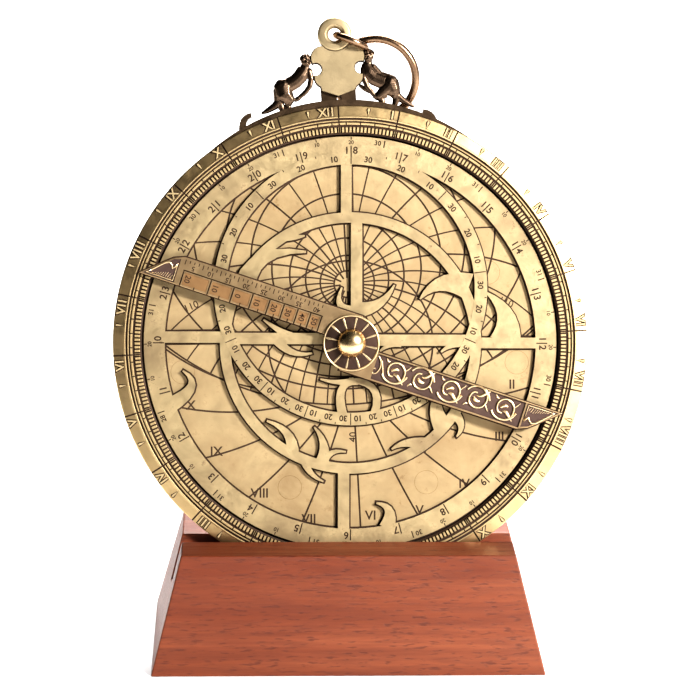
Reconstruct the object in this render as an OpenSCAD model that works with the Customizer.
// Planispheric astrolabe leaning in a slotted wooden stand.
// Millimetres, +Z up, front towards -Y, origin at the middle of the stand's underside.
// The sky plate and the pierced star map are drawn by stereographic projection.

/* [Stand] */
// Width of the stand across its underside
stand_w = 123; // [110:1:140]
// Depth of the stand at its underside
stand_d = 63; // [58:1:80]
// Height of the stand
stand_h = 36; // [32:1:44]
// Slope of the two ends, degrees from upright
end_slope = 14.5; // [8:0.5:18]
// Width of the lip in front of the slot
lip_t = 12.7; // [9:0.1:16]
// Lean of the disc and of the stand's front, degrees from upright
lean = 16; // [10:1:20]
// Depth of the slot along the lean
slot_depth = 12.4; // [10:0.1:16]
// Play between the disc and each wall of the slot
slot_play = 0.3; // [0.2:0.05:0.6]
// How far the disc sits to the right of the stand's middle
seat_shift = 1; // [-4:0.5:4]

/* [Disc] */
// Radius of the disc
disc_r = 75; // [70:1:80]
// Thickness of the back plate
plate_t = 2; // [1.6:0.1:2.4]
// Thickness of the whole disc at its rim
disc_t = 6.6; // [6.4:0.1:7.2]
// Inner radius of the raised limb
limb_in_r = 65.9; // [65.7:0.1:66.4]
// Radius where the limb's outer bevel starts
band_r = 69.8; // [69:0.1:71]
// Fall of the limb's outer bevel
band_fall = 0.9; // [0.5:0.1:1.4]
// Turn of the disc in its slot, degrees anticlockwise from the front
disc_turn = 3.2; // [-5:0.1:5]

/* [Sky plate] */
// Latitude that the sky plate is drawn for, degrees
latitude = 40; // [30:1:50]
// Tilt of the ecliptic, degrees
obliquity = 23.44; // [23:0.01:24]
// Radius of the projected celestial equator
equator_r = 39.7; // [39.4:0.1:39.9]
// Thickness of the sky plate
tympan_t = 1.3; // [1:0.1:1.4]
// Step between the circles of altitude, degrees
altitude_step = 15; // [10:5:30]

/* [Star map] */
// Thickness of the pierced star map
rete_t = 1.4; // [1:0.1:1.5]
// Outer radius of the star map
rete_r = 65.3; // [65:0.1:65.4]
// Inner radius of the star map's calendar rim
rim_in_r = 58.7; // [57:0.1:59.5]
// Width of the ecliptic ring
ecliptic_w = 4; // [3:0.5:5]
// Width of the equator ring
equator_w = 3.3; // [2.5:0.1:4]
// Width of the star map's bars
bar_w = 3.6; // [3:0.1:4]
// Turn of the star map, degrees anticlockwise
rete_turn = 0; // [-180:0.1:180]

/* [Rule and alidade] */
// Distance from the centre to each tip of the rule
rule_r = 70.6; // [68:0.5:72]
// Width of each arm of the rule
rule_w = 9.3; // [7:0.1:10]
// Thickness of the rule
rule_t = 1.2; // [1:0.1:1.4]
// Turn of the rule, degrees anticlockwise
rule_turn = -18.3; // [-40:0.1:40]
// Distance from the centre to each tip of the alidade
alidade_r = 67; // [64:1:70]
// Distance from the centre to each sight's hinge
sight_x = 57; // [54:1:58]
// Height of a sight above its hinge
sight_h = 19; // [14:1:20]

/* [Pivot] */
// Radius of the pivot pin
pin_r = 2.5; // [2.2:0.1:3]
// Radial clearance of what turns on a pin
fit = 0.05; // [0.02:0.01:0.08]
// Radius of the rosette washer
rosette_r = 8.95; // [8.5:0.05:9.5]
// Radius of the domed nut
nut_r = 4.55; // [4.2:0.05:5]

/* [Suspension] */
// Distance from the disc's centre to the eye
eye_y = 97.7; // [96:0.1:99]
// Radius of the eye's centreline
eye_r = 3.7; // [3.55:0.05:3.8]
// Radius of the eye's stock
eye_wire_r = 1.7; // [1.5:0.05:1.7]
// Radius of the small link's centreline
link_r = 5.15; // [5.1:0.05:5.2]
// Radius of the link's wire
link_wire_r = 1.15; // [1.05:0.05:1.15]
// Dip of the hanging link, degrees below level
link_dip = 26.4; // [26:0.1:27]
// Radius of the large ring's centreline
ring_r = 12.7; // [12.6:0.05:12.8]
// Radius of the large ring's wire
ring_wire_r = 1.3; // [1.2:0.05:1.3]

/* [Hidden] */
$fn = 96;

BRASS = [0.80, 0.66, 0.38];
DARK_BRASS = [0.48, 0.38, 0.24];
WOOD = [0.66, 0.33, 0.20];

// Levels above the disc's back, along its axis
gap = 0.1;
rete_z = plate_t + 0.05 + tympan_t + gap;
ecliptic_rise = 0.1;
rule_z = disc_t + 0.25;
rosette_z = rule_z + rule_t + 0.05;
rosette_t = 0.9;
rosette_rim_h = 0.45;
nut_z = rosette_z + rosette_t;
nut_base_h = 1.2;
nut_dome_h = 3;
washer_t = 0.6;
alidade_z = -washer_t - 0.1;
alidade_t = 1.5;
hub_r = 8;

// Sights, hinged on the alidade's back
sight_t = 1.1;
sight_axis_z = alidade_z - alidade_t - 1.4;
knuckle_r = 1.3;
sight_pin_r = 0.6;
ear_t = 1.5;
ear_in = 3;
alidade_w = 9;

// Stand
front_run = stand_h * tan(lean);
lip_y = -stand_d / 2 + front_run + lip_t;
slot_wide = disc_t + 2 * slot_play;

// Disc centre, on the back face of its plate
seat_v = disc_r - slot_depth;
seat_w = disc_t + slot_play;
disc_pos = [
    seat_shift,
    lip_y + seat_v * sin(lean) + seat_w * cos(lean),
    stand_h + seat_v * cos(lean) - seat_w * sin(lean)
];

// Stereographic projection
function sky_r(dec) = equator_r * tan((90 - dec) / 2);
capricorn_r = sky_r(-obliquity);
cancer_r = sky_r(obliquity);
ecliptic_r = (capricorn_r + cancer_r) / 2;
ecliptic_y = (capricorn_r - cancer_r) / 2;
function altitude_r(h) = equator_r * cos(h) / (sin(latitude) + sin(h));
function altitude_y(h) = equator_r * cos(latitude) / (sin(latitude) + sin(h));

// Throne, measured in the disc's own plane
throne_mid = 3.6;
shield_t = 2.4;
shield_x = 0.8;
eye_x = 0.2;
band_top = 1.9;
band_half_angle = 33;
band_y = (pow(disc_r + band_top, 2) - pow(disc_r, 2))
    / (2 * (disc_r + band_top - disc_r * cos(band_half_angle)));
band_arc_r = disc_r + band_top - band_y;

// Hanging link and ring
link_play = 0.55;
link_back = 0.9;
ring_x = 12.8;
ring_y = 83.7;
ring_yaw = 6;
ring_back = 1.7;
link_at = eye_x_shifted(link_play + link_r);
ring_normal = [sin(ring_yaw), cos(ring_yaw) * sin(lean), -cos(ring_yaw) * cos(lean)];
ring_z = link_at[2] - ring_back
    - (ring_normal[0] * (ring_x - link_at[0]) + ring_normal[1] * (ring_y - link_at[1]))
    / ring_normal[2];
function eye_x_shifted(d) = [
    eye_x + d * cos(link_dip), eye_y - d * sin(link_dip), throne_mid - link_back
];

// Places what is drawn flat in the disc's own plane, face up, into the leaning disc
module on_disc(turn = 0)
    translate(disc_pos)
        rotate([90 - lean, 0, 0])
            rotate([0, 0, turn])
                children();

// A flat plate of an outline, from one level up
module plate(z, t)
    translate([0, 0, z])
        linear_extrude(t)
            children();

module bore(r = pin_r + fit)
    translate([0, 0, -20])
        cylinder(h = 60, r = r);

// A bent, tapering pointer drawn about a quadratic curve
function bend(a, b, c, t) = (1 - t) * (1 - t) * a + 2 * t * (1 - t) * b + t * t * c;
function bend_dir(a, b, c, t) = 2 * (1 - t) * (b - a) + 2 * t * (c - b);
function side_of(d) = [-d[1], d[0]] / norm(d);
module pointer(a, b, c, w, w_end = 0.5) {
    steps = 7;
    left = [for (i = [0:steps]) let (t = i / steps)
        bend(a, b, c, t) + side_of(bend_dir(a, b, c, t)) * (w * (1 - t) + w_end * t) / 2];
    right = [for (i = [steps:-1:0]) let (t = i / steps)
        bend(a, b, c, t) - side_of(bend_dir(a, b, c, t)) * (w * (1 - t) + w_end * t) / 2];
    polygon(concat(left, right));
}

// Hardwood block with sloping sides and a leaning slot
module stand_block() color(WOOD)
    difference() {
        end_run = stand_h * tan(end_slope);
        intersection() {
            rotate([90, 0, 0])
                linear_extrude(stand_d * 2, center = true)
                    polygon([
                        [-stand_w / 2, 0], [stand_w / 2, 0],
                        [stand_w / 2 - end_run, stand_h], [-stand_w / 2 + end_run, stand_h]
                    ]);
            rotate([90, 0, 90])
                linear_extrude(stand_w * 2, center = true)
                    polygon([
                        [-stand_d / 2, 0], [stand_d / 2, 0],
                        [stand_d / 2 - front_run, stand_h], [-stand_d / 2 + front_run, stand_h]
                    ]);
        }
        on_disc()
            translate([-stand_w, -disc_r - 0.02, -slot_play])
                cube([stand_w * 2, disc_r, slot_wide]);
    }

// Back plate of the mater
module mater_plate() color(BRASS)
    on_disc(disc_turn)
        difference() {
            cylinder(h = plate_t, r = disc_r);
            bore();
            translate([0, -62, plate_t - 1])
                cylinder(h = 2, r = 0.8);
        }

// Raised limb with its bevelled outer band
module limb_ring() color(BRASS)
    on_disc(disc_turn)
        rotate_extrude($fn = 180)
            polygon([
                [limb_in_r, plate_t], [disc_r, plate_t], [disc_r, disc_t - band_fall],
                [band_r + 0.2, disc_t], [band_r, disc_t - 0.25], [band_r - 0.4, disc_t - 0.25],
                [band_r - 0.6, disc_t], [limb_in_r, disc_t]
            ]);

// A shallow engraved circle in the sky plate
module groove(r, y = 0)
    translate([0, y, plate_t + 0.05 + tympan_t - 0.12])
        difference() {
            cylinder(h = 1, r = r + 0.12);
            cylinder(h = 3, r = r - 0.12, center = true);
        }

// Sky plate with its circles, horizon and circles of altitude
module tympan() color(BRASS)
    on_disc(disc_turn)
        difference() {
            plate(plate_t + 0.05, tympan_t)
                circle(r = limb_in_r - 0.5);
            bore();
            translate([0, -62, 0])
                cylinder(h = 8, r = 0.85);
            for (dec = [-obliquity, 0, obliquity])
                groove(sky_r(dec));
            intersection() {
                cylinder(h = 10, r = capricorn_r);
                union()
                    for (h = [0:altitude_step:75])
                        groove(altitude_r(h), altitude_y(h));
            }
        }

// Peg that keeps the sky plate from turning
module tympan_peg() color(DARK_BRASS)
    on_disc(disc_turn)
        translate([0, -62, plate_t - 0.95])
            cylinder(h = tympan_t + 0.9, r = 0.78);

// Crescent band that joins the throne to the rim, with two leaf tips
module throne_band() color(DARK_BRASS)
    on_disc(disc_turn)
        difference() {
            union() {
                translate([0, band_y, 0.8])
                    cylinder(h = 4.8, r = band_arc_r, $fn = 180);
                plate(1.4, 3.6)
                    pointer([-30, 66], [-31.5, 73], [-27.4, 73.5], 2.8, 1.4);
                plate(1.4, 3.6)
                    pointer([29.6, 65], [31.4, 71], [26.8, 72], 2.6, 1.4);
            }
            translate([0, 0, -1])
                cylinder(h = 10, r = disc_r + 0.02, $fn = 180);
        }

module above_band()
    difference() {
        children();
        translate([0, band_y, -10])
            cylinder(h = 30, r = band_arc_r + 0.02, $fn = 180);
    }

// Two-lobed shield on its feet
module shield_outline()
    difference() {
        union() {
            for (side = [-1, 1]) {
                translate([side * 4.7, 90.4])
                    circle(r = 3.7);
                translate([side * 4.4, 84.3])
                    circle(r = 3.2);
            }
            translate([-4.7, 84])
                square([9.4, 10.1]);
            polygon([[-6.1, 82.2], [-5.4, 80.1], [-0.4, 78.2], [4.9, 80.1], [6, 82.2], [5, 86], [-5, 86]]);
        }
        for (side = [-1, 1])
            translate([side * 7.15, 86.9])
                circle(r = 2.1);
        translate([eye_x - shield_x, eye_y])
            circle(r = eye_r + eye_wire_r + 0.03);
    }

module throne_shield() color(BRASS)
    on_disc(disc_turn)
        translate([shield_x, 0, 0])
            difference() {
                above_band() {
                    plate(throne_mid - shield_t / 2, shield_t)
                        shield_outline();
                    for (x = [-5.6, 0.5])
                        translate([x, 75, throne_mid - 1])
                            cube([4.4, 6.2, 1.9]);
                }
                translate([eye_x - shield_x, eye_y, throne_mid])
                    rotate([90, 0, 0])
                        cylinder(h = 9, r = 0.72);
            }

// Outline of the left figure, which crouches on a goat's haunches and reaches for the shield
module left_outline()
    intersection() {
        circle(r = 110);
        union() {
            // neck and back, down to the haunch
            pointer([-9.4, 89.6], [-9.6, 87.6], [-10, 86], 2.2, 3.4);
            pointer([-9.9, 87.2], [-10.6, 83.6], [-15.4, 81.8], 3.6, 4.6);
            translate([-16.8, 81.2])
                circle(r = 2.95);
            // near leg, trailing leg and knee
            pointer([-17.4, 80.8], [-19.4, 78], [-17.8, 74.4], 4.4, 2.2);
            pointer([-16.4, 79.6], [-18.6, 76.2], [-24.4, 73.8], 3.2, 1.2);
            pointer([-14.6, 81.4], [-12.8, 78.8], [-14.4, 75], 4, 2.2);
            // arm down to the knee and arm to the shield
            pointer([-8.9, 86.6], [-7.3, 81], [-12.6, 77.4], 2.4, 1.5);
            pointer([-9.6, 86], [-8.4, 84.6], [-7.2, 84.4], 2, 1.2);
        }
    }

// Outline of the right figure, which leans back from the shield and clears its lower lobe
module right_outline()
    difference() {
        union() {
            // neck and back, down to the haunch
            pointer([10.7, 90.2], [10.2, 88], [10.2, 86], 2, 3.4);
            pointer([10.2, 87.2], [11, 83.4], [15.8, 81.6], 3.8, 4.8);
            translate([16.9, 81])
                circle(r = 2.85);
            // near leg, trailing leg and knee
            pointer([17.6, 80.4], [19.4, 77.4], [18, 74.4], 4, 2);
            pointer([16.8, 79], [18.6, 75.8], [24, 73.5], 3.2, 1.2);
            pointer([14.8, 81], [12.4, 78.6], [13.8, 75], 4, 2.2);
            // arm down to the knee and arm under the shield
            pointer([9.5, 85.6], [8.6, 81.6], [12, 77.2], 2.4, 1.6);
            pointer([10.4, 79], [8.8, 80], [7.4, 81.2], 1.8, 1.2);
        }
        translate([shield_x + 4.4, 84.3])
            circle(r = 3.26);
    }

// Figure with its bulging haunch, chest and head
module figure(side, head_x, head_y, head_r) {
    z = throne_mid + 0.1;
    above_band()
        plate(z - 1.1, 2.2)
            children();
    above_band()
        plate(z - 1.7, 3.4)
            intersection() {
                circle(r = 110);
                union() {
                    translate([side * 16.9, 81.2])
                        circle(r = 2.2);
                    pointer([side * 17, 81.4], [side * 18.8, 78.6], [side * 17.6, 76.2], 3.4, 0.9);
                }
            }
    above_band()
        plate(z - 1.5, 3)
            pointer([side * 10, 86.8], [side * 10.8, 83.9], [side * 13.6, 82.4], 2.6, 2.8);
    translate([head_x, head_y, z])
        sphere(r = head_r);
}

module figure_left() color(DARK_BRASS)
    on_disc(disc_turn)
        figure(-1, -9.35, 89.8, 1.65)
            left_outline();

module figure_right() color(DARK_BRASS)
    on_disc(disc_turn)
        figure(1, 10.8, 90.4, 1.5)
            right_outline();

// Eye with a stem that is pressed into the shield
module suspension_eye() color(BRASS)
    on_disc(disc_turn)
        translate([eye_x, eye_y, throne_mid]) {
            rotate_extrude()
                translate([eye_r, 0])
                    circle(r = eye_wire_r);
            translate([0, -eye_r, 0])
                rotate([90, 0, 0])
                    cylinder(h = 5, r = 0.7);
        }

// Pivot pin with its slotted head on the back
module pivot_pin() color(BRASS)
    on_disc(disc_turn) {
        head_z = alidade_z - alidade_t - 0.1;
        translate([0, 0, head_z - 0.5])
            cylinder(h = nut_z + 2.5 - head_z + 0.5, r = pin_r);
        difference() {
            intersection() {
                translate([0, 0, head_z - 1.6])
                    cylinder(h = 1.6, r = 5.2);
                translate([0, 0, head_z + 7.4])
                    sphere(r = 9.05);
            }
            translate([-6, -0.45, head_z - 3])
                cube([12, 0.9, 2.1]);
        }
    }

// Spacer that lifts the rule to the level of the limb
module rete_spacer() color(DARK_BRASS)
    on_disc(disc_turn)
        difference() {
            plate(rete_z + rete_t + 0.05, rule_z - rete_z - rete_t - 0.1)
                circle(r = 6);
            bore();
        }

// Rosette washer with a thin raised rim
module rosette_washer() color(DARK_BRASS)
    on_disc(disc_turn)
        difference() {
            translate([0, 0, rosette_z])
                cylinder(h = rosette_t + rosette_rim_h, r = rosette_r);
            translate([0, 0, rosette_z + rosette_t])
                cylinder(h = 2, r = rosette_r - 0.4);
            bore();
        }

// Domed nut on the end of the pivot pin
module domed_nut() color(BRASS)
    on_disc(disc_turn)
        difference() {
            dome_r = (nut_r * nut_r + nut_dome_h * nut_dome_h) / (2 * nut_dome_h);
            union() {
                translate([0, 0, nut_z])
                    cylinder(h = nut_base_h, r = nut_r);
                intersection() {
                    translate([0, 0, nut_z + nut_base_h + nut_dome_h - dome_r])
                        sphere(r = dome_r);
                    translate([0, 0, nut_z + nut_base_h])
                        cylinder(h = 10, r = nut_r);
                }
            }
            translate([0, 0, nut_z - 1])
                cylinder(h = 3.55, r = pin_r + 0.02);
        }

module back_washer() color(DARK_BRASS)
    on_disc(disc_turn)
        difference() {
            plate(-washer_t - 0.05, washer_t)
                circle(r = hub_r);
            bore();
        }

// Star pointers inside and outside the rings, each from its root through its bend to its tip
module star_pointers() {
    // upper left crescent
    pointer([-34, 14], [-33.5, 30.5], [-14.2, 28.8], 8, 0.7);
    pointer([-21, 33.6], [-17.5, 33.2], [-14.6, 33.9], 3, 0.5);
    // upper right flame
    pointer([37.5, 18], [27.5, 21.5], [21.9, 14], 8.5, 0.5);
    // right flame on the level bar
    pointer([49, 0.5], [52, 10], [42.8, 16.2], 10, 0.5);
    // leaf and hook over the hub
    pointer([1.5, 10.5], [10, 10.5], [13.8, 18.4], 5.2, 0.5);
    pointer([1, 10], [-6, 10.8], [-2.8, 17.6], 3.6, 0.5);
    // small flames on the level bars
    pointer([-19, 2], [-22.5, 3.5], [-27.6, 7.4], 3, 0.6);
    pointer([-23, 0.5], [-18.5, -4.8], [-12.2, -3.2], 3, 0.6);
    pointer([16, 0], [12, 0], [9.2, -2.6], 2.6, 0.6);
    pointer([35, 0], [31, -0.5], [28.6, -2.8], 2.4, 0.6);
    // antlers under the hub
    pointer([-2.5, -23], [-5.5, -11.2], [2.5, -12.4], 3, 1.8);
    pointer([7.5, -22.5], [11, -12], [-0.5, -11.8], 2.6, 1.8);
    pointer([1, -12], [-4.5, -13], [-9.6, -11.4], 2.4, 0.5);
    // lower left of the equator ring
    pointer([-18.5, -35.5], [-17.5, -27.5], [-26.5, -24.6], 4.4, 0.6);
    pointer([-9.5, -39], [-6.5, -32], [-11.5, -26.6], 4.6, 0.5);
    pointer([-9, -39], [-7.5, -33.2], [-1.5, -34.4], 3, 0.5);
    pointer([-14.5, -37.5], [-13, -42], [-8.6, -43.8], 2.6, 0.5);
    // lower right of the equator ring
    pointer([24, -32], [17, -30.5], [13, -33.6], 4.2, 0.5);
    pointer([30, -27.5], [25, -21], [28.5, -14], 6.5, 1.5);
    pointer([33.5, -23], [36.5, -26.5], [33.6, -29.6], 3.2, 0.5);
    // hooks on the calendar rim
    pointer([-57.5, -20], [-45.5, -13.5], [-53, -8.8], 5, 0.5);
    pointer([11.5, -58.5], [14.5, -51.5], [8.2, -50.6], 5, 0.5);
}

// Rings and bars of the star map
module ring_shape(r, w)
    difference() {
        circle(r = r + w / 2, $fn = 180);
        circle(r = r - w / 2, $fn = 180);
    }

module rete() color(BRASS)
    on_disc(rete_turn)
        difference() {
            union() {
                plate(rete_z, rete_t)
                    intersection() {
                        circle(r = rete_r, $fn = 180);
                        union() {
                            ring_shape((rete_r + rim_in_r) / 2, rete_r - rim_in_r);
                            ring_shape(equator_r, equator_w);
                            circle(r = hub_r);
                            // upright bars beside the solstice line
                            translate([-3.2, equator_r])
                                square([bar_w - 0.2, rete_r - equator_r - 4]);
                            translate([0, 4])
                                square([bar_w, equator_r - 4]);
                            translate([-4, 2 - rete_r])
                                square([bar_w, rete_r - equator_r - 2]);
                            // level bars beside the equinox line
                            translate([1 - rim_in_r - 3, 0])
                                square([rim_in_r + 2 - equator_r, bar_w]);
                            translate([-equator_r, -0.4])
                                square([equator_r, bar_w]);
                            translate([0, -0.9])
                                square([equator_r, bar_w]);
                            translate([equator_r, -1.6])
                                square([rim_in_r + 2 - equator_r, bar_w - 0.2]);
                            star_pointers();
                        }
                    }
                plate(rete_z, rete_t + ecliptic_rise)
                    intersection() {
                        circle(r = rete_r - 0.05, $fn = 180);
                        translate([0, ecliptic_y])
                            ring_shape(ecliptic_r - ecliptic_w / 2, ecliptic_w);
                    }
            }
            bore();
        }

// Counterchanged rule: each arm lies on the other side of the line of sight
module rule() color(DARK_BRASS)
    on_disc(rule_turn)
        difference() {
            plate(rule_z, rule_t) {
                circle(r = rosette_r - 0.4);
                polygon([
                    [rule_r, 0], [1, 0], [1, rule_w], [12.6 - rule_r, rule_w],
                    [9.2 - rule_r, rule_w - 1.4], [-rule_r, 0], [-1, 0], [-1, -rule_w],
                    [rule_r - 12.6, -rule_w], [rule_r - 9.2, 1.4 - rule_w]
                ]);
            }
            bore();
        }

// Alidade on the back, with ears for the folding sights
module alidade() color(BRASS)
    on_disc()
        difference() {
            union() {
                plate(alidade_z - alidade_t, alidade_t) {
                    circle(r = hub_r);
                    polygon([
                        [alidade_r, 0], [sight_x + 3, alidade_w / 2], [-sight_x - 3, alidade_w / 2],
                        [-alidade_r, 0], [-sight_x - 3, -alidade_w / 2], [sight_x + 3, -alidade_w / 2]
                    ]);
                }
                for (x = [-sight_x, sight_x], y = [-ear_in - ear_t, ear_in])
                    translate([x - 1.7, y, sight_axis_z - 1.5])
                        cube([3.4, ear_t, 3]);
            }
            bore();
            for (x = [-sight_x, sight_x])
                translate([x, 10, sight_axis_z])
                    rotate([90, 0, 0])
                        cylinder(h = 20, r = sight_pin_r + 0.01);
        }

module sight_pin(side) color(DARK_BRASS)
    on_disc()
        translate([side * sight_x, alidade_w / 2, sight_axis_z])
            rotate([90, 0, 0])
                cylinder(h = alidade_w, r = sight_pin_r);

module sight_pin_left() sight_pin(-1);
module sight_pin_right() sight_pin(1);

// Folding sight with a large and a small hole, lying along the alidade
module sight(side) color(BRASS)
    on_disc()
        translate([side * sight_x, 0, sight_axis_z])
            rotate([0, 0, side < 0 ? 0 : 180])
                difference() {
                    union() {
                        rotate([90, 0, 0])
                            cylinder(h = 2 * ear_in - 0.2, r = knuckle_r, center = true);
                        translate([0, -ear_in + 0.1, -sight_t / 2])
                            cube([3.4, 2 * ear_in - 0.2, sight_t]);
                        translate([3.2, -alidade_w / 2, -sight_t / 2])
                            cube([sight_h - 3.2, alidade_w, sight_t]);
                    }
                    rotate([90, 0, 0])
                        cylinder(h = 20, r = sight_pin_r + fit, center = true);
                    translate([8, 0, -5])
                        cylinder(h = 10, r = 1.1);
                    translate([14.5, 0, -5])
                        cylinder(h = 10, r = 0.5);
                }

module sight_left() sight(-1);
module sight_right() sight(1);

// Small link, hanging to the right through the eye
module suspension_link() color(DARK_BRASS)
    on_disc(disc_turn)
        translate(link_at)
            rotate([0, 0, -link_dip])
                rotate([90, 0, 0])
                    rotate_extrude()
                        translate([link_r, 0])
                            circle(r = link_wire_r);

// Large ring, hanging upright behind the throne
module suspension_ring() color(DARK_BRASS)
    on_disc(disc_turn)
        translate([ring_x, ring_y, ring_z])
            rotate([lean, 0, 0])
                rotate([0, -ring_yaw, 0])
                    rotate_extrude()
                        translate([ring_r, 0])
                            circle(r = ring_wire_r);

stand_block();
mater_plate();
limb_ring();
tympan();
tympan_peg();
throne_band();
throne_shield();
figure_left();
figure_right();
suspension_eye();
pivot_pin();
rete_spacer();
rosette_washer();
domed_nut();
back_washer();
rete();
rule();
alidade();
sight_pin_left();
sight_pin_right();
sight_left();
sight_right();
suspension_link();
suspension_ring();
